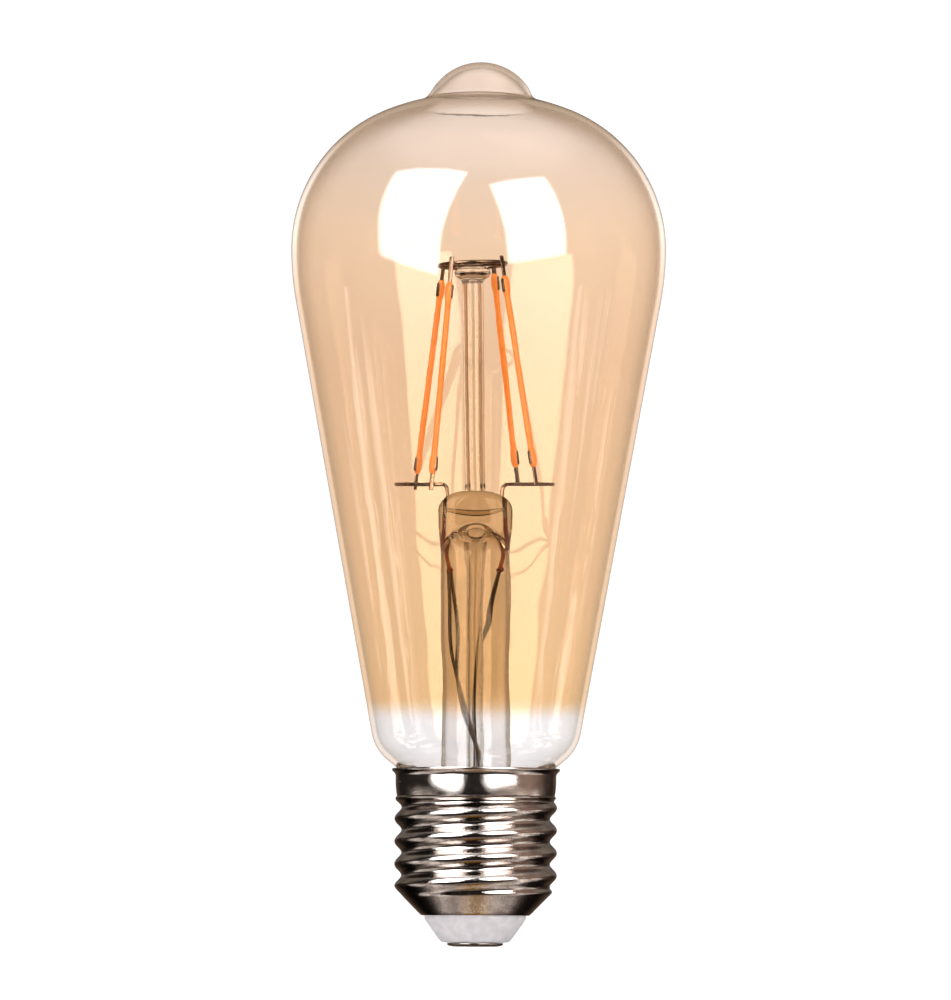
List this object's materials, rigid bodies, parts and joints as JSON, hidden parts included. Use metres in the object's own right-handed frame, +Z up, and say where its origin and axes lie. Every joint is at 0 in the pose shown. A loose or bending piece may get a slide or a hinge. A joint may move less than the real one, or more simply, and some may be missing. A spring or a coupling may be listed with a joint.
{
  "type": "filament light bulb",
  "caption": "Pear-shaped amber glass light bulb with upright LED filaments on a glass stem and a nickel Edison screw cap with a driver inside.",
  "frame": {"origin": "centre of the centre contact's flat face, at the bottom of the cap", "axes": "+Z up along the bulb's axis, from the cap to the glass tip; -Y towards the viewer"},
  "size_m": [0.0604, 0.0604, 0.1426],
  "materials": {
    "amber_glass": "clear blown glass with an amber coating, bare near the cap",
    "clear_glass": "clear drawn glass tube",
    "cap_nickel": "bright nickel plate over rolled sheet",
    "contact_metal": "satin nickel plate",
    "insulator": "pale matt insulating disc",
    "cement": "matt tan capping cement",
    "copper_wire": "copper-clad wire and copper trace",
    "phosphor": "orange phosphor in silicone",
    "led_chip": "bare LED dies",
    "carrier": "white alumina strip",
    "circuit_board": "green resist",
    "black_package": "moulded package",
    "capacitor_can": "dark sleeve",
    "resistor_body": "lacquered body",
    "tin_plate": "bright tin plate",
    "solder": "bright solder",
    "hookup_wire": "tinned wire with a pale sleeve",
    "nickel_wire": "drawn nickel wire and strip"
  },
  "bodies": {
    "root": {"bridge_rectifier": "black_package", "cap_insulator": "insulator", "cap_shell": "cap_nickel", "capping_cement": "cement", "centre_contact": "contact_metal", "centre_post": "clear_glass", "contact_solder": "solder", "contact_wire": "hookup_wire", "driver_board": "circuit_board", "driver_chip": "black_package", "exhaust_tube": "clear_glass", "filament_1_carrier_strip": "carrier", "filament_1_led_chips": "led_chip", "filament_1_lower_tab": "nickel_wire", "filament_1_phosphor_coat": "phosphor", "filament_1_upper_tab": "nickel_wire", "filament_2_carrier_strip": "carrier", "filament_2_led_chips": "led_chip", "filament_2_lower_tab": "nickel_wire", "filament_2_phosphor_coat": "phosphor", "filament_2_upper_tab": "nickel_wire", "filament_3_carrier_strip": "carrier", "filament_3_led_chips": "led_chip", "filament_3_lower_tab": "nickel_wire", "filament_3_phosphor_coat": "phosphor", "filament_3_upper_tab": "nickel_wire", "filament_4_carrier_strip": "carrier", "filament_4_led_chips": "led_chip", "filament_4_lower_tab": "nickel_wire", "filament_4_phosphor_coat": "phosphor", "filament_4_upper_tab": "nickel_wire", "filter_capacitor": "capacitor_can", "filter_inductor": "black_package", "fusible_resistor": "resistor_body", "glass_envelope": "amber_glass", "left_dumet_wire": "copper_wire", "left_inner_lead": "nickel_wire", "left_outer_strand_a": "nickel_wire", "left_outer_strand_b": "nickel_wire", "left_weld_knot": "nickel_wire", "radio_can": "tin_plate", "radio_crystal": "tin_plate", "radio_module": "circuit_board", "right_dumet_wire": "copper_wire", "right_inner_lead": "nickel_wire", "right_outer_strand_a": "nickel_wire", "right_outer_strand_b": "nickel_wire", "right_weld_knot": "nickel_wire", "ring_crossbar": "nickel_wire", "shell_solder": "solder", "shell_wire": "hookup_wire", "stem_glass": "clear_glass", "strand_solder": "solder", "surface_mount_parts": "black_package", "top_ring": "nickel_wire", "trace_antenna": "copper_wire"}
  },
  "joints": []
}
